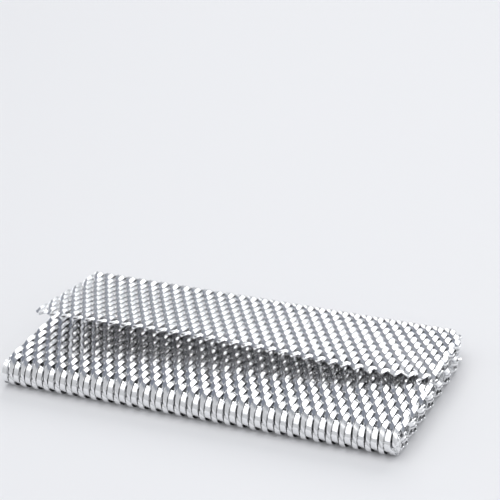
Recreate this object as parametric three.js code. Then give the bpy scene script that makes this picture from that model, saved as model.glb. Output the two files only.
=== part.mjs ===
import * as THREE from 'three';

// Wire splint: one strip of spiral woven flat wire, wound flat into a pad.
// Millimetres, X along the fold lines, Y from front to back, Z up, rests on Z = 0.

// Driving sizes
const WIRE_PITCH = 2.88;
const PITCHES_ACROSS = 33;
const PAD_DEPTH = 53.1;
const MESH_THICKNESS = 0.9;
const LAYER_GAP = 0.1;
const CORE_GAP = 0.4;
const TURNS = 3;
const ROW_PITCH = 3.12;
const ROW_DIP = 0.13;
const FLAP_RUN = 31.8;
const FLAP_RISE = 4.45;
const FLAP_DRAW = 8.9;
const FLUSH_END = 5.7;
const INNER_END_SHORT = 9;
const EDGE_ROUND = 0.2;

// Where the free edge of the last turn stands, as shares of the width up to the flush end,
// of FLAP_RISE above lying flat, and of FLAP_DRAW back from the full FLAP_RUN.
const FLAP_SHAPE = [
  { along: 0, rise: 1, drawn: 0 },
  { along: 0.13, rise: 0.94, drawn: 0.06 },
  { along: 0.26, rise: 0.89, drawn: 0.21 },
  { along: 0.43, rise: 0.81, drawn: 0.33 },
  { along: 0.6, rise: 0.71, drawn: 0.39 },
  { along: 0.74, rise: 0.6, drawn: 0.42 },
  { along: 0.86, rise: 0.46, drawn: 0.47 },
  { along: 0.94, rise: 0.28, drawn: 0.65 },
  { along: 1, rise: 0.1, drawn: 0.9 }
];

// Sizes that follow from the ones above
const STRIP_WIDTH = WIRE_PITCH * PITCHES_ACROSS;
const LAYER_PITCH = MESH_THICKNESS + LAYER_GAP;
const HALF = MESH_THICKNESS / 2;
const BODY_HEIGHT = 2 * (TURNS * LAYER_PITCH - LAYER_GAP) + CORE_GAP;
const BACK_HEIGHT = BODY_HEIGHT + LAYER_PITCH;
const FRONT_CENTRE_Y = -PAD_DEPTH / 2 + BODY_HEIGHT / 2;
const BACK_CENTRE_Y = PAD_DEPTH / 2 - BACK_HEIGHT / 2;
const ARC_STEPS = 12;
const DIP_POINTS = 3;

// Height of the middle of each lying layer, counted from the outside inwards
function lowerLayer(turn) {
  return HALF + turn * LAYER_PITCH;
}

function upperLayer(turn) {
  return BODY_HEIGHT - HALF - turn * LAYER_PITCH;
}

// Half a turn round one of the two folds, from the angle given to the next one
function fold(points, centreY, centreZ, radius, fromAngle, toAngle, dips) {
  const steps = 2 * Math.round(ARC_STEPS / 2 * Math.min(1, 0.35 + radius / 4));
  for (let i = 1; i < steps; i += 1) {
    const angle = fromAngle + (toAngle - fromAngle) * i / steps;
    points.push({
      y: centreY + radius * Math.cos(angle),
      z: centreZ + radius * Math.sin(angle),
      dip: dips
    });
  }
}

// A straight run with the rows of links marked as shallow dips on its outer side
function run(points, fromY, toY, z, rows) {
  const length = Math.abs(toY - fromY);
  const count = rows ? Math.max(2, Math.round(length / ROW_PITCH)) * DIP_POINTS : 1;
  for (let i = 0; i <= count; i += 1) {
    const dip = rows && i % DIP_POINTS === 0 && i > 0 && i < count ? 1 : 0;
    points.push({ y: fromY + (toY - fromY) * i / count, z: z, dip: dip });
  }
}

// Places across the width where the band is drawn, with the flap's edge at each
function stations() {
  const list = FLAP_SHAPE.map((row) => ({
    x: -STRIP_WIDTH / 2 + row.along * (STRIP_WIDTH - FLUSH_END),
    rise: row.rise * FLAP_RISE,
    drawn: row.drawn * FLAP_DRAW
  }));
  list.push({ x: STRIP_WIDTH / 2, rise: 0, drawn: FLAP_DRAW });
  return list;
}

// Middle line of the wound strip at one station,
// from the free edge of the flap to the end inside the pad
function middleLine(station) {
  const points = [];
  const rise = station.rise;
  const flapLength = FLAP_RUN - station.drawn;
  const flapRows = Math.round(FLAP_RUN / ROW_PITCH);
  const flapZ = BACK_HEIGHT - HALF;
  const count = flapRows * DIP_POINTS;
  for (let i = count; i >= 0; i -= 1) {
    const u = i / count;
    const lift = rise * (Math.sqrt(u * u + 0.0081) - 0.09) / (Math.sqrt(1.0081) - 0.09);
    points.push({
      y: BACK_CENTRE_Y - flapLength * u,
      z: flapZ + lift,
      dip: i % DIP_POINTS === 0 && i > 0 && i < count ? 1 : 0
    });
  }
  const backZ = BACK_HEIGHT / 2;
  const frontZ = BODY_HEIGHT / 2;
  fold(points, BACK_CENTRE_Y, backZ, backZ - HALF, Math.PI / 2, -Math.PI / 2, 0);
  for (let turn = 0; turn < TURNS; turn += 1) {
    const outer = turn === 0;
    run(points, BACK_CENTRE_Y, FRONT_CENTRE_Y, lowerLayer(turn), false);
    const frontRadius = frontZ - lowerLayer(turn);
    fold(points, FRONT_CENTRE_Y, frontZ, frontRadius, -Math.PI / 2, -Math.PI * 1.5, 0);
    const last = turn === TURNS - 1;
    const endY = last ? BACK_CENTRE_Y - INNER_END_SHORT : BACK_CENTRE_Y;
    run(points, FRONT_CENTRE_Y, endY, upperLayer(turn), outer);
    if (!last) {
      const radius = backZ - lowerLayer(turn + 1);
      fold(points, BACK_CENTRE_Y, backZ, radius, Math.PI / 2, -Math.PI / 2, 0);
    }
  }
  return points;
}

// Closed outline of the strip: out along its outer side and back along its inner side
function outline(station) {
  const middle = middleLine(station);
  const outer = [];
  const inner = [];
  for (let i = 0; i < middle.length; i += 1) {
    const a = middle[Math.max(0, i - 1)];
    const b = middle[Math.min(middle.length - 1, i + 1)];
    const length = Math.hypot(b.y - a.y, b.z - a.z);
    const ny = -(b.z - a.z) / length;
    const nz = (b.y - a.y) / length;
    const end = i === 0 || i === middle.length - 1;
    const half = end ? HALF - EDGE_ROUND : HALF;
    const out = half - (middle[i].dip ? ROW_DIP : 0);
    outer.push([middle[i].y + ny * out, middle[i].z + nz * out]);
    inner.push([middle[i].y - ny * half, middle[i].z - nz * half]);
  }
  return outer.concat(inner.reverse());
}

// Loft the outline through its stations across the width and close both ends
function loft(list) {
  const rings = list.map((station) => outline(station));
  const size = rings[0].length;
  const position = [];
  rings.forEach((ring, index) => {
    ring.forEach(([y, z]) => position.push(list[index].x, y, z));
  });
  const face = [];
  const flat = rings[0].map(([y, z]) => new THREE.Vector2(y, z));
  const turnsLeft = THREE.ShapeUtils.area(flat) > 0;
  const add = (a, b, c) => {
    if (turnsLeft) face.push(a, b, c);
    else face.push(a, c, b);
  };
  for (let s = 0; s < rings.length - 1; s += 1) {
    for (let i = 0; i < size; i += 1) {
      const j = (i + 1) % size;
      const a = s * size + i;
      const b = s * size + j;
      add(a, b, a + size);
      add(b, b + size, a + size);
    }
  }
  // Both ends of the width are closed with the cut section of the band
  for (let i = 0; i < size / 2 - 1; i += 1) {
    const j = size - 1 - i;
    const far = (rings.length - 1) * size;
    add(i, j, i + 1);
    add(i + 1, j, j - 1);
    add(far + i, far + i + 1, far + j);
    add(far + i + 1, far + j - 1, far + j);
  }
  const geometry = new THREE.BufferGeometry();
  geometry.setAttribute('position', new THREE.Float32BufferAttribute(position, 3));
  geometry.setIndex(face);
  geometry.computeVertexNormals();
  return geometry;
}

const brightMetal = new THREE.MeshStandardMaterial({
  color: 0xc9ccd1,
  roughness: 0.3,
  metalness: 1
});

const strip = new THREE.Mesh(loft(stations()), brightMetal);
strip.name = 'mesh_strip';

const splint = new THREE.Group();
splint.name = 'wire_splint';
splint.add(strip);

export default splint;
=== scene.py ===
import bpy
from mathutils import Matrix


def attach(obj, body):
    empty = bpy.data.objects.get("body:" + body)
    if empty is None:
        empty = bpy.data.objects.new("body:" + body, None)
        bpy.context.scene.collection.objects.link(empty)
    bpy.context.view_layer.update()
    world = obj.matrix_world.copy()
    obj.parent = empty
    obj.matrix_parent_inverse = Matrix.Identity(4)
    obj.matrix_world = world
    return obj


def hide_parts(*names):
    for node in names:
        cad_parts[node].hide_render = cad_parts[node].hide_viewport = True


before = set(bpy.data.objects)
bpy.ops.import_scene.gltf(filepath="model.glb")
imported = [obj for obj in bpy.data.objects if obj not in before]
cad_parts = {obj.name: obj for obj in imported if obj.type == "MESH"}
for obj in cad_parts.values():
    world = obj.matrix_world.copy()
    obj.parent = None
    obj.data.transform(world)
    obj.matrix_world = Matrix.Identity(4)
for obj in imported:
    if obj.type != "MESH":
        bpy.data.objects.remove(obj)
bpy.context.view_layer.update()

import math
import bpy
import numpy as np
from mathutils import Vector

# Wire splint: one strip of spiral woven flat wire, wound flat into a pad, with the free end of
# its last turn, the flap, standing off the pad at the left.
# The weave is worked out in millimetres on the strip: x across it along the fold lines, s along
# it, and n off its middle towards the outside. s is 0 where the flap starts and below 0 on the
# flap. From 0 it grows round the back fold, along the bottom, round the front fold, along the
# top and on through the inner turns.
MM = 0.001

# Sizes of the wound strip
WIRE_PITCH = 2.88
PITCHES = 33
ROW_PITCH = 3.12
PAD_DEPTH = 53.1
MESH_THICKNESS = 0.9
LAYER_GAP = 0.1
CORE_GAP = 0.4
TURNS = 3
INNER_END_SHORT = 9.0
FLAP_RUN = 31.8
FLAP_RISE = 4.45
FLAP_DRAW = 8.9
FLAP_EASE = 0.09
FLUSH_END = 5.7

# The flap's free edge: place as a share of the width up to the flush end, height as a share of
# FLAP_RISE, and distance back from the full run as a share of FLAP_DRAW
FLAP_EDGE = np.array([
    (0.0, 1.0, 0.0),
    (0.13, 0.94, 0.06),
    (0.26, 0.89, 0.21),
    (0.43, 0.81, 0.33),
    (0.6, 0.71, 0.39),
    (0.74, 0.6, 0.42),
    (0.86, 0.46, 0.47),
    (0.94, 0.28, 0.65),
    (1.0, 0.1, 0.9)
])

# Sizes that follow from the ones above
WIDTH = WIRE_PITCH * PITCHES
LAYER_PITCH = MESH_THICKNESS + LAYER_GAP
HALF = MESH_THICKNESS / 2
BODY_HEIGHT = 2 * (TURNS * LAYER_PITCH - LAYER_GAP) + CORE_GAP
BACK_HEIGHT = BODY_HEIGHT + LAYER_PITCH
FRONT_Y = -PAD_DEPTH / 2 + BODY_HEIGHT / 2
BACK_Y = PAD_DEPTH / 2 - BACK_HEIGHT / 2
EDGE_X = np.append(FLAP_EDGE[:, 0] * (WIDTH - FLUSH_END) - WIDTH / 2, WIDTH / 2)
EDGE_RISE = np.append(FLAP_EDGE[:, 1], 0.0) * FLAP_RISE
EDGE_DRAWN = np.append(FLAP_EDGE[:, 2], 1.0) * FLAP_DRAW

# The strip's middle line
FOLD_POINTS = 60
RUN_POINTS = 3
SAME_POINT = 1e-6
NORMAL_STEP = 0.05


def lying_path():
    """Middle line of all but the flap, in rows of s, y, z and the outward direction's y and z."""
    points = []

    def fold(centre_y, centre_z, radius, start, stop):
        for angle in np.linspace(start, stop, FOLD_POINTS):
            out_y, out_z = math.cos(angle), math.sin(angle)
            points.append((centre_y + radius * out_y, centre_z + radius * out_z, out_y, out_z))

    def run(start_y, stop_y, z, out_z):
        for y in np.linspace(start_y, stop_y, RUN_POINTS):
            points.append((y, z, 0.0, out_z))

    back_z = BACK_HEIGHT / 2
    front_z = BODY_HEIGHT / 2
    up = math.pi / 2
    fold(BACK_Y, back_z, back_z - HALF, up, -up)
    for turn in range(TURNS):
        last = turn == TURNS - 1
        lower = HALF + turn * LAYER_PITCH
        upper = BODY_HEIGHT - HALF - turn * LAYER_PITCH
        run(BACK_Y, FRONT_Y, lower, -1.0)
        fold(FRONT_Y, front_z, front_z - lower, -up, -3 * up)
        run(FRONT_Y, BACK_Y - (INNER_END_SHORT if last else 0.0), upper, 1.0)
        if not last:
            fold(BACK_Y, back_z, back_z - lower - LAYER_PITCH, up, -up)
    points = np.array(points)
    step = np.hypot(*np.diff(points[:, :2], axis=0).T)
    length = np.append(0.0, np.cumsum(step))
    distinct = np.append(True, step > SAME_POINT)
    return np.column_stack([length, points])[distinct]


# Places along the strip where its runs start and end
PATH = lying_path()
INNER_END = PATH[-1, 0]
RUN = BACK_Y - FRONT_Y
BOTTOM_START = math.pi * (BACK_HEIGHT / 2 - HALF)
BOTTOM_END = BOTTOM_START + RUN
TOP_START = BOTTOM_END + math.pi * (BODY_HEIGHT / 2 - HALF)
TOP_END = TOP_START + RUN


def path_at(s):
    """y, z and the outward direction's y and z on the lying part of the strip."""
    return [np.interp(s, PATH[:, 0], PATH[:, column]) for column in range(1, 5)]


def flap_point(x, s):
    """Middle of the flap."""
    share = -s / FLAP_RUN
    run = FLAP_RUN - np.interp(x, EDGE_X, EDGE_DRAWN)
    eased = np.sqrt(share * share + FLAP_EASE ** 2) - FLAP_EASE
    lift = np.interp(x, EDGE_X, EDGE_RISE) * eased / (math.sqrt(1 + FLAP_EASE ** 2) - FLAP_EASE)
    return np.stack([x, BACK_Y - run * share, BACK_HEIGHT - HALF + lift], axis=-1)


def place(x, s, n):
    """Moves points from the flat strip to where the wound strip has them."""
    y, z, out_y, out_z = path_at(s)
    size = np.hypot(out_y, out_z)
    placed = np.stack([x, y + n * out_y / size, z + n * out_z / size], axis=-1)
    on_flap = s < 0
    if on_flap.any():
        x, s, n = x[on_flap], s[on_flap], n[on_flap]
        across = flap_point(x + NORMAL_STEP, s) - flap_point(x - NORMAL_STEP, s)
        along = flap_point(x, s + NORMAL_STEP) - flap_point(x, s - NORMAL_STEP)
        out = np.cross(across, along)
        out /= np.linalg.norm(out, axis=-1, keepdims=True)
        placed[on_flap] = flap_point(x, s) + out * n[..., None]
    return placed


# The flat wire, as wide as WIRE_WIDTH measured across the strip. It climbs to the strip's outer
# face in an arch, bent about lines near SKEW to the strip's width, and returns beneath.
WIRE_WIDTH = 1.2
WIRE_THICKNESS = 0.2
WIRE_EDGE_CUT = 0.06
SKEW = math.radians(44.0)
ARCH_TOP = HALF - WIRE_THICKNESS / 2
ARCH_DIR = np.array([math.sin(SKEW), math.cos(SKEW), 0.0])
BEND_DIR = np.array([-math.cos(SKEW), math.sin(SKEW), 0.0])
UP = np.array([0.0, 0.0, 1.0])
ARCH_SAMPLES = 300
TURN_SAMPLES = 60
TOP_RING = 0.35
TURN_RINGS = 6
COARSE_TOP_RING = 0.6
COARSE_KNEE_BACK = 0.2
BENEATH_SLOPE = 0.97
SLOPE_STEP = 0.01
RETURN_PULL = 1.3
RETURN_LEAN = math.radians(24.0)
RETURN_LINE = np.array([0.93, -0.37, 0.0])
RETURN_RINGS = 4
COARSE_RETURN_RINGS = 2

# Half arches, from the middle of the top to the knee where the wire turns beneath. The columns
# are the reach along the arch, the tilt in degrees, the slope of the bend line and the share of
# WIRE_WIDTH. FRONT and BACK make the plain links.
REACH, TILT, SLOPE, SHARE = range(4)
FRONT = np.array([
    (0.0, 0.0, 1.0, 1.0),
    (0.3, 0.5, 1.3, 1.0),
    (0.76, 1.5, 1.7, 1.0),
    (0.84, 12.0, 1.78, 1.0),
    (0.94, 17.0, 1.78, 1.0),
    (1.7, 16.5, 1.7, 1.0),
    (2.08, 18.0, 1.2, 1.0)
])
BACK = np.array([
    (0.0, 0.0, 1.0, 1.0),
    (0.95, 0.8, 1.1, 1.0),
    (1.03, 9.0, 1.1, 1.0),
    (1.12, 16.0, 1.1, 1.0),
    (1.7, 15.5, 1.1, 1.0),
    (2.0, 18.0, 1.1, 1.0)
])
# OVER is the long wire over the front fold, and UPPER and LOWER are the halves between
OVER = np.array([
    (0.0, 0.0, 1.0, 1.0),
    (0.6, 1.5, 1.3, 1.0),
    (0.85, 6.0, 1.5, 1.0),
    (1.7, 6.0, 1.6, 0.98),
    (2.5, 7.0, 1.7, 0.85),
    (3.1, 14.0, 1.8, 0.7),
    (3.3, 22.0, 1.6, 0.7)
])
UPPER = np.array([
    (0.0, 0.0, 0.3, 1.1),
    (1.0, 0.5, 0.3, 1.0),
    (1.6, 1.0, 0.2, 1.0),
    (1.95, 8.0, 0.2, 1.0),
    (2.2, 20.0, 0.4, 1.0),
    (2.35, 28.0, 0.8, 1.0)
])
LOWER = np.array([
    (0.0, 0.0, 0.3, 1.1),
    (0.7, 0.5, 0.3, 1.17),
    (1.25, 1.0, 0.4, 1.22),
    (1.5, 12.0, 0.5, 1.2),
    (1.75, 26.0, 0.6, 1.1)
])


def arch(half):
    """A half arch seen along its bend lines, as samples of reach, way across and height."""
    knee_tilt = math.radians(half[-1, TILT])
    reach = np.linspace(0, half[-1, REACH], ARCH_SAMPLES)
    tilt = np.interp(reach, half[:, REACH], np.radians(half[:, TILT]))
    between = (tilt[1:] + tilt[:-1]) / 2
    across = np.append(0, np.cumsum(np.cos(between) * reach[1]))
    height = ARCH_TOP - np.append(0, np.cumsum(np.sin(between) * reach[1]))
    # Past the knee it turns in one arc until it lies upside down at the strip's inner face
    radius = (height[-1] + ARCH_TOP) / (1 + math.cos(knee_tilt))
    turn = np.linspace(knee_tilt, math.pi, TURN_SAMPLES)[1:]
    turn_reach = reach[-1] + radius * (turn - knee_tilt)
    turn_across = across[-1] + radius * (np.sin(turn) - math.sin(knee_tilt))
    turn_height = height[-1] - radius * (math.cos(knee_tilt) - np.cos(turn))
    return (np.append(reach, turn_reach), np.append(across, turn_across),
            np.append(height, turn_height))


def half_wire(half, fine):
    """Centres, outward directions and bend lines from the middle of a wire's top to beneath it."""
    reach, across, height = arch(half)
    knee = half[-1, REACH]
    end = reach[-1]
    if fine:
        turn = np.linspace(knee, end, TURN_RINGS)[1:]
        at = np.sort(np.concatenate([[0.0, TOP_RING], half[1:, REACH], turn]))
    else:
        at = np.array([COARSE_TOP_RING, knee - COARSE_KNEE_BACK, (knee + end) / 2, end])
    known = np.append(half[:, REACH], end)
    slope = np.interp(at, known, np.append(half[:, SLOPE], BENEATH_SLOPE))
    share = np.interp(at, known, np.append(half[:, SHARE], 1.0))
    line = np.stack([np.ones_like(slope), -slope, np.zeros_like(slope)], axis=1)

    def centre(v):
        flat = np.interp(v, reach, across)[:, None] * ARCH_DIR
        flat = flat + (v * math.tan(SKEW))[:, None] * BEND_DIR
        return flat + np.interp(v, reach, height)[:, None] * UP

    ahead = centre(np.minimum(at + SLOPE_STEP, end))
    behind = centre(np.maximum(at - SLOPE_STEP, 0))
    out = np.cross(line, ahead - behind)
    out /= np.linalg.norm(out, axis=1, keepdims=True)
    return centre(at), out, line * share[:, None]


def wire_period(front, back, fine):
    """Centres, outward directions and bend lines of a wire over one pitch."""
    front_centre, front_out, front_line = half_wire(front, fine)
    back_centre, back_out, back_line = half_wire(back, fine)
    # The front half is turned round, and a fine one leaves the top's middle ring to the back half
    flip = np.array([-1.0, -1.0, 1.0])
    first = 1 if fine else 0
    centre = np.concatenate([(front_centre * flip)[first:][::-1], back_centre])
    out = np.concatenate([(front_out * flip)[first:][::-1], back_out])
    line = np.concatenate([front_line[first:][::-1], back_line])
    # The return beneath runs to where the next arch starts
    start = centre[-1]
    stop = centre[0] + np.array([-WIRE_PITCH, 0, 0])
    pull = np.array([-RETURN_PULL, 0, 0])
    count = RETURN_RINGS if fine else COARSE_RETURN_RINGS
    w = np.linspace(0, 1, count + 2)[1:-1, None]
    beneath = ((2 * w ** 3 - 3 * w ** 2 + 1) * start + (w ** 3 - 2 * w ** 2 + w) * pull
               + (-2 * w ** 3 + 3 * w ** 2) * stop + (w ** 3 - w ** 2) * pull)
    beneath_out = -UP * math.cos(RETURN_LEAN) - ARCH_DIR * math.sin(RETURN_LEAN)
    centre = np.concatenate([centre, beneath])
    out = np.concatenate([out, np.tile(beneath_out, (count, 1))])
    line = np.concatenate([line, np.tile(RETURN_LINE, (count, 1))])
    return centre, out, line


def ribbon(centre, wide, thick, width):
    """Rings of a flat wire with slightly cut edges, six corners each."""
    w = width / 2
    t = WIRE_THICKNESS / 2
    flat = w - WIRE_EDGE_CUT
    section = [(-w, 0), (-flat, t), (flat, t), (w, 0), (flat, -t), (-flat, -t)]
    return np.stack([centre + wide * a + thick * b for a, b in section], axis=1)


def wire_row(count, fine, kind):
    """A whole wire of that many pitches on the flat strip, as rings."""
    centre, out, line = wire_period(*kind, fine)
    pitches = [centre + np.array([-WIRE_PITCH * i, 0, 0]) for i in range(count)]
    return ribbon(np.concatenate(pitches), np.tile(line, (count, 1)), np.tile(out, (count, 1)),
                  WIRE_WIDTH)


# Where the links stand across the strip, and how far they slip over at the front fold
PHASE = -0.98
FOLD_DRIFT = 0.5
DRIFT_FADE = 12.0
# Half the depth to which the wires between the lower front ones sink in, and how far before the
# top's start they begin, are full, are full still and end
DENT_HALF = 0.3
DENT_RANGE = [4.6, 6.6, 8.6, 10.2]

# The strip's two sides. The right one slants, is rounded off at the back and tucked in beneath.
# A row is made SPARE_PITCHES longer than the strip is wide. Its last link at each side is the
# last within DRAW_REACH of the side, and its rings go on for COIL_REACH past that link.
LEFT_INSET = 0.6
RIGHT_INSET = 1.5
RIGHT_SLANT = 0.042
CORNER_Y = 17.0
CORNER_RUN = 9.5
CORNER_CUT = 3.4
CORNER_POWER = 1.6
TUCK = 0.8
DRAW_REACH = 1.5
COIL_REACH = 0.75
SPARE_PITCHES = 3

# Bent ends that join a row's wire to the next row's at the sides, with the angle in degrees
SIDE_BEND_RINGS = 9
SIDE_BEND_ANGLE = 100
SIDE_BEND_LENGTH = 1.7
SIDE_BEND_LEAN = 0.1
SIDE_BEND_WIDTH = 0.5
RIGHT_BEND_BACK = 0.1
RIGHT_BEND_REACH = 1.25
LEFT_BEND_INSET = 0.5
LEFT_BEND_REACH = 0.4


def drift(s):
    """How far the rows slip across where the strip turns over the front fold."""
    before_top = np.clip((TOP_START - s) / (TOP_START - BOTTOM_END), 0, 1)
    before_fold = np.clip((BOTTOM_END - s) / DRIFT_FADE, 0, 1)
    return FOLD_DRIFT * before_top * (1 - before_fold)


def dent(x, s):
    """How far the wires between the lower front ones sink in, which scallops the lower edge."""
    share = np.interp(TOP_START - s, DENT_RANGE, [0.0, 1.0, 1.0, 0.0])
    off = x - PHASE - FOLD_DRIFT - WIRE_PITCH / 2
    return -DENT_HALF * share * (1 - np.cos(2 * math.pi * off / WIRE_PITCH))


def ends_at(s):
    """Where the outermost links of a row stand at the strip's left and right sides."""
    if s < 0:
        y, z = BACK_Y + s, BODY_HEIGHT
    else:
        y, z = path_at(s)[:2]
    slant = RIGHT_SLANT * max(0.0, CORNER_Y - y)
    corner = CORNER_CUT * (max(0.0, y - CORNER_Y) / CORNER_RUN) ** CORNER_POWER
    tuck = TUCK * max(0.0, 1 - z / BODY_HEIGHT)
    return -WIDTH / 2 + LEFT_INSET, WIDTH / 2 - RIGHT_INSET - slant - corner - tuck


def draw_in(x, tops, s):
    """Draws the last coil at each side in, so that a row reaches the side and doesn't pass it."""
    left, right = ends_at(s)
    low = tops[tops > left - DRAW_REACH].min()
    high = tops[tops < right + DRAW_REACH].max()
    middle = x.mean(axis=1)
    move = np.zeros_like(middle)
    if low < left:
        hold = low + WIRE_PITCH
        drawn = hold + (middle - hold) * (hold - left) / (hold - low)
        move = np.where(middle < hold, drawn - middle, move)
    if high > right:
        hold = high - WIRE_PITCH
        drawn = hold + (middle - hold) * (right - hold) / (high - hold)
        move = np.where(middle > hold, drawn - middle, move)
    return x + move[:, None], low, high


def side_bend(s, x, reach):
    """Bent end beside a row, out to the right for a positive reach and else to the left."""
    turn = np.radians(np.linspace(-SIDE_BEND_ANGLE, SIDE_BEND_ANGLE, SIDE_BEND_RINGS))
    side = math.copysign(1.0, reach)
    out, along, level = np.cos(turn), np.sin(turn), np.ones_like(turn)
    centre = np.stack([x + reach * out, s + ROW_PITCH / 2 + SIDE_BEND_LENGTH * along,
                       -SIDE_BEND_LEAN * along], axis=1)
    face = np.stack([side * out, along, SIDE_BEND_LEAN * level], axis=1)
    wide = np.stack([-SIDE_BEND_LEAN * side * out, -SIDE_BEND_LEAN * along, level], axis=1)
    rings = ribbon(centre, wide, face, SIDE_BEND_WIDTH)
    x = np.clip(rings[..., 0], -WIDTH / 2, WIDTH / 2)
    return place(x, np.maximum(rings[..., 1], -FLAP_RUN), rings[..., 2])


def rows(start, stop, count, parity, fine, kind=(FRONT, BACK)):
    """Wires of count rows from start to stop, the odd ones half a pitch off the even ones."""
    wires = []
    row = wire_row(PITCHES + SPARE_PITCHES, fine, kind)
    row_middle = (row[..., 0].max() + row[..., 0].min()) / 2
    for k in range(count):
        s = start + (stop - start) * (k / max(1, count - 1))
        odd = (parity + k) % 2
        shift = PHASE + odd * WIRE_PITCH / 2
        shift -= WIRE_PITCH * round((shift + row_middle) / WIRE_PITCH)
        points = row + np.array([shift, s, 0.0])
        tops = shift - WIRE_PITCH * np.arange(PITCHES + SPARE_PITCHES) + drift(s)
        x, low, high = draw_in(points[..., 0] + drift(points[..., 1]), tops, s)
        # Only the rings between the outermost links stay
        ring_x = points[..., 0].mean(axis=1) + drift(s)
        kept = np.nonzero((ring_x > low - COIL_REACH) & (ring_x < high + COIL_REACH))[0]
        kept = slice(kept[0], kept[-1] + 1)
        x = np.clip(x[kept], -WIDTH / 2, WIDTH / 2)
        along, off = points[kept, :, 1], points[kept, :, 2]
        off = off + dent(x.mean(axis=1), along.mean(axis=1))[:, None]
        wires.append(place(x, along, off))
        if not odd:
            right = min(ends_at(s)[1], ends_at(s + ROW_PITCH)[1]) - RIGHT_BEND_BACK
            wires.append(side_bend(s, right, RIGHT_BEND_REACH))
        wires.append(side_bend(s, -WIDTH / 2 + LEFT_BEND_INSET, -LEFT_BEND_REACH))
    return wires


# Edge wire of the flap: places of its rings and of its peak as shares of a pitch, and its ends,
# inset, sway, height and width in millimetres
HEM_RINGS = np.array([0.0, 0.25, 0.5, 0.7, 0.76, 0.88])
HEM_PEAK = 0.73
HEM_LEFT = 0.1
HEM_SHORT = 2.6
HEM_INSET = 0.45
HEM_SWAY = 0.2
HEM_LOW = -0.2
HEM_RISE = 0.5
HEM_WIDTH = 0.86


def hem():
    """Edge wire of the flap's free end, stepped in scales with the weave."""
    count = int((WIDTH - HEM_SHORT) / WIRE_PITCH)
    share = np.concatenate([HEM_RINGS + i for i in range(count)])
    part = share % 1
    rise = np.where(part < HEM_PEAK, part / HEM_PEAK, (1 - part) / (1 - HEM_PEAK))
    centre = np.stack([-WIDTH / 2 + HEM_LEFT + WIRE_PITCH * share,
                       -FLAP_RUN + HEM_INSET + HEM_SWAY * rise, HEM_LOW + HEM_RISE * rise], axis=1)
    wide = np.tile([0.0, 1.0, 0.0], (len(share), 1))
    thick = np.cross(np.gradient(centre, axis=0), wide)
    thick /= np.linalg.norm(thick, axis=1, keepdims=True)
    rings = ribbon(centre, wide, thick, HEM_WIDTH)
    return place(rings[..., 0], rings[..., 1], rings[..., 2])


# Edges that bend more than this are drawn sharp
SHARP_ANGLE = math.radians(32)

# Bright metal: its range of colour and roughness, and its slow stains and fine grain
METAL_DARK = (0.87, 0.875, 0.885, 1)
METAL_LIGHT = (0.95, 0.952, 0.957, 1)
METAL_ROUGHNESS = (0.1, 0.21)
STAIN_SCALE = 220.0
STAIN_DETAIL = 4.0
GRAIN_SCALE = 2600.0
GRAIN_STRENGTH = 0.08
GRAIN_DEPTH = 0.0001
# Colour sockets of a mix node, by number
MIX_A, MIX_B, MIX_RESULT = 6, 7, 2


def joined_mesh(name, wires):
    """One object of many closed wires, each given as rings of six corners."""
    corners, faces = [], []
    base = 0
    for rings in wires:
        count, sides = rings.shape[:2]
        corners.append(rings.reshape(-1, 3))
        ring = base + np.arange(count - 1)[:, None] * sides
        side = np.arange(sides)[None, :]
        a = ring + side
        b = ring + (side + 1) % sides
        faces.append(np.stack([a, a + sides, b + sides, b], axis=-1).reshape(-1, 4))
        last = base + (count - 1) * sides
        faces.append(np.array([
            (base, base + 1, base + 2, base + 3),
            (base, base + 3, base + 4, base + 5),
            (last + 3, last + 2, last + 1, last),
            (last + 5, last + 4, last + 3, last)
        ]))
        base += count * sides
    corners = np.concatenate(corners) * MM
    faces = np.concatenate(faces)
    mesh = bpy.data.meshes.new(name)
    mesh.vertices.add(len(corners))
    mesh.vertices.foreach_set("co", corners.astype(np.float32).ravel())
    mesh.loops.add(faces.size)
    mesh.loops.foreach_set("vertex_index", faces.astype(np.int32).ravel())
    mesh.polygons.add(len(faces))
    mesh.polygons.foreach_set("loop_start", np.arange(0, faces.size, 4, dtype=np.int32))
    mesh.polygons.foreach_set("loop_total", np.full(len(faces), 4, np.int32))
    mesh.update(calc_edges=True)
    mesh.validate()
    mesh.polygons.foreach_set("use_smooth", np.ones(len(mesh.polygons), bool))
    mesh.set_sharp_from_angle(angle=SHARP_ANGLE)
    return linked(name, mesh)


def linked(name, data):
    """An object of that data in the scene."""
    obj = bpy.data.objects.new(name, data)
    bpy.context.scene.collection.objects.link(obj)
    return obj


def add_node(tree, kind, inputs):
    """A node with the inputs given by name or number."""
    node = tree.nodes.new(kind)
    for socket, value in inputs.items():
        node.inputs[socket].default_value = value
    return node


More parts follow.
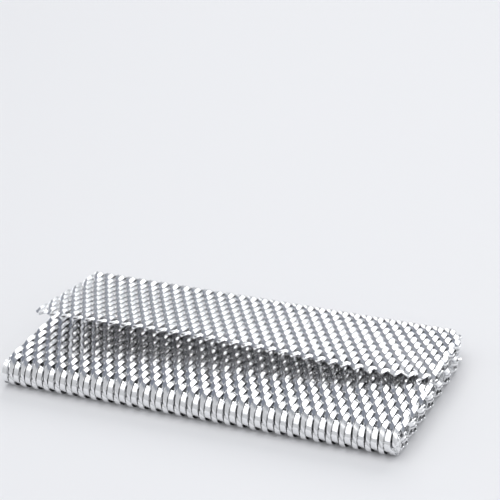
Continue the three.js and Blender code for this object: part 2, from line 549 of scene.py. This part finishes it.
def metal():
    """Bright rolled metal, with slow stains in colour and gloss and a fine grain."""
    material = bpy.data.materials.new("bright_wire")
    material.use_nodes = True
    tree = material.node_tree
    link = tree.links.new
    shader = tree.nodes["Principled BSDF"]
    shader.inputs["Metallic"].default_value = 1.0
    place_in = tree.nodes.new("ShaderNodeTexCoord").outputs["Object"]
    stain = add_node(tree, "ShaderNodeTexNoise", {"Scale": STAIN_SCALE, "Detail": STAIN_DETAIL})
    link(place_in, stain.inputs["Vector"])
    gloss = add_node(tree, "ShaderNodeMapRange",
                     {"To Min": METAL_ROUGHNESS[0], "To Max": METAL_ROUGHNESS[1]})
    link(stain.outputs["Fac"], gloss.inputs["Value"])
    link(gloss.outputs["Result"], shader.inputs["Roughness"])
    colour = add_node(tree, "ShaderNodeMix", {MIX_A: METAL_DARK, MIX_B: METAL_LIGHT})
    colour.data_type = "RGBA"
    link(stain.outputs["Fac"], colour.inputs[0])
    link(colour.outputs[MIX_RESULT], shader.inputs["Base Color"])
    grain = add_node(tree, "ShaderNodeTexNoise", {"Scale": GRAIN_SCALE})
    link(place_in, grain.inputs["Vector"])
    bump = add_node(tree, "ShaderNodeBump", {"Strength": GRAIN_STRENGTH, "Distance": GRAIN_DEPTH})
    link(grain.outputs["Fac"], bump.inputs["Height"])
    link(bump.outputs["Normal"], shader.inputs["Normal"])
    return material


METAL = metal()


def piece(name, wires):
    """A piece of the weave, in place of the plain solid."""
    obj = joined_mesh(name, wires)
    obj.data.materials.append(METAL)
    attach(obj, "root")
    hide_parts("mesh_strip")


# Where the rows stand along the strip: the front row of the top by its y, the two round the
# front fold by how far they lie before the top's start, and the others by what they keep clear
FRONT_ROW_Y = -23.16
CREASE_ROW_BEFORE_TOP = 4.1
LOWER_ROW_BEFORE_TOP = 7.9
TOP_END_MARGIN = 1.5
FLAP_EDGE_MARGIN = 2.5
INNER_END_MARGIN = 2.4
FLAP_ROWS = 10
BACK_ROWS = 4

# The top of the pad
front_row = TOP_START + FRONT_ROW_Y - FRONT_Y
top_rows = int((TOP_END - TOP_END_MARGIN - front_row) / ROW_PITCH)
top_last = front_row + ROW_PITCH * top_rows
piece("weave_top", rows(front_row + ROW_PITCH, top_last, top_rows, parity=0, fine=True))

# The front fold: the long wires over it, the crease and the wires below
crease_row = TOP_START - CREASE_ROW_BEFORE_TOP
lower_row = TOP_START - LOWER_ROW_BEFORE_TOP
piece("weave_front", rows(front_row, front_row, 1, parity=1, fine=True, kind=(OVER, BACK))
      + rows(crease_row, crease_row, 1, parity=0, fine=True, kind=(LOWER, UPPER))
      + rows(lower_row, lower_row, 1, parity=1, fine=True, kind=(FRONT, UPPER)))

# The flap and the back fold
flap_first = -FLAP_RUN + FLAP_EDGE_MARGIN
flap_last = flap_first + ROW_PITCH * (FLAP_ROWS - 1)
back_last = flap_last + ROW_PITCH * BACK_ROWS
piece("weave_flap",
      rows(flap_first, flap_last, FLAP_ROWS, parity=0, fine=True) + [hem()])
piece("weave_back",
      rows(flap_last + ROW_PITCH, back_last, BACK_ROWS, parity=FLAP_ROWS, fine=True))

# The bottom, with its rows spaced evenly between the back fold's and the front fold's
bottom_steps = round((lower_row - back_last) / ROW_PITCH)
bottom_pitch = (lower_row - back_last) / bottom_steps
piece("weave_bottom",
      rows(back_last + bottom_pitch, lower_row - bottom_pitch, bottom_steps - 1,
           parity=0, fine=True))

# The inner turns, coarser, in two pieces
inner_first = top_last + ROW_PITCH
inner_rows = int((INNER_END - INNER_END_MARGIN - inner_first) / ROW_PITCH) + 1
inner_split = inner_rows // 2
inner_middle = inner_first + ROW_PITCH * inner_split
inner_last = inner_first + ROW_PITCH * (inner_rows - 1)
piece("weave_inner_a",
      rows(inner_first, inner_middle - ROW_PITCH, inner_split, parity=0, fine=False))
piece("weave_inner_b",
      rows(inner_middle, inner_last, inner_rows - inner_split, parity=inner_split, fine=False))

# Camera at the photograph's angle, in millimetres. The lens fits the photograph's framing.
CAMERA_AT = (127.508, -335.751, 192.730)
CAMERA_AZIMUTH = math.radians(20.483)
CAMERA_ELEVATION = math.radians(24.320)
CAMERA_SENSOR = 36.0
CAMERA_LENS = 127.63
CAMERA_NEAR = 10.0


def add_camera():
    data = bpy.data.cameras.new("camera")
    data.sensor_width = CAMERA_SENSOR
    data.lens = CAMERA_LENS
    data.clip_start = CAMERA_NEAR * MM
    camera = linked("camera", data)
    camera.location = Vector(CAMERA_AT) * MM
    level = math.cos(CAMERA_ELEVATION)
    look = Vector((-math.sin(CAMERA_AZIMUTH) * level, math.cos(CAMERA_AZIMUTH) * level,
                   -math.sin(CAMERA_ELEVATION)))
    camera.rotation_euler = look.to_track_quat("-Z", "Y").to_euler()
    bpy.context.scene.camera = camera


def add_light(name, at, target, size, power):
    """A soft oblong light, in metres and watts."""
    data = bpy.data.lights.new(name, "AREA")
    data.shape = "RECTANGLE"
    data.size, data.size_y = size
    data.energy = power
    light = linked(name, data)
    light.location = at
    light.rotation_euler = (Vector(target) - Vector(at)).to_track_quat("-Z", "Y").to_euler()


# The room's walls behind and in front of the pad, and its darker side at the left
WALL_BEHIND = (0.43, 0.445, 0.475, 1)
WALL_AHEAD = (0.6, 0.61, 0.63, 1)
DARK_SIDE = (0.225, 0.245, 0.295, 1)
DARK_SIDE_TOWARD = (-0.86, 0.35, 0.38)
DARK_SIDE_FADE = (0.80, 0.97)
WALL_FADE = (0.3, -0.3)


def add_room():
    """A pale room with a darker side to the left, which shows in the bends of the wires."""
    world = bpy.data.worlds.new("studio")
    bpy.context.scene.world = world
    world.use_nodes = True
    tree = world.node_tree
    link = tree.links.new
    toward = tree.nodes.new("ShaderNodeTexCoord").outputs["Generated"]

    def fade(value, ends):
        made = add_node(tree, "ShaderNodeMapRange", {"From Min": ends[0], "From Max": ends[1]})
        made.interpolation_type = "SMOOTHSTEP"
        link(value, made.inputs["Value"])
        return made.outputs["Result"]

    ahead = tree.nodes.new("ShaderNodeSeparateXYZ")
    link(toward, ahead.inputs[0])
    walls = add_node(tree, "ShaderNodeMix", {MIX_A: WALL_BEHIND, MIX_B: WALL_AHEAD})
    walls.data_type = "RGBA"
    link(fade(ahead.outputs["Y"], WALL_FADE), walls.inputs[0])
    leftness = add_node(tree, "ShaderNodeVectorMath", {1: DARK_SIDE_TOWARD})
    leftness.operation = "DOT_PRODUCT"
    link(toward, leftness.inputs[0])
    room = add_node(tree, "ShaderNodeMix", {MIX_B: DARK_SIDE})
    room.data_type = "RGBA"
    link(walls.outputs[MIX_RESULT], room.inputs[MIX_A])
    link(fade(leftness.outputs["Value"], DARK_SIDE_FADE), room.inputs[0])
    background = tree.nodes["Background"]
    background.inputs["Strength"].default_value = 1.0
    link(room.outputs[MIX_RESULT], background.inputs["Color"])


# Pale floor, in metres from the middle to each edge
FLOOR_HALF = 4
FLOOR_COLOUR = (0.84, 0.84, 0.85, 1)
FLOOR_ROUGHNESS = 0.6


def add_floor():
    side = FLOOR_HALF
    mesh = bpy.data.meshes.new("floor")
    mesh.from_pydata([(-side, -side, 0), (side, -side, 0), (side, side, 0), (-side, side, 0)], [],
                     [(0, 1, 2, 3)])
    material = bpy.data.materials.new("floor")
    material.use_nodes = True
    shader = material.node_tree.nodes["Principled BSDF"]
    shader.inputs["Base Color"].default_value = FLOOR_COLOUR
    shader.inputs["Roughness"].default_value = FLOOR_ROUGHNESS
    mesh.materials.append(material)
    linked("floor", mesh)


add_camera()
add_light("back_soft", at=(-0.08, 3.0, 1.98), target=(-0.08, 0, 1.98), size=(3.36, 2.5), power=53.0)
add_light("top_soft", at=(0.0, -1.05, 1.2), target=(0.0, -1.05, 0), size=(1.3, 3.3), power=12.5)
add_room()
add_floor()
bpy.context.scene.view_settings.view_transform = "Standard"
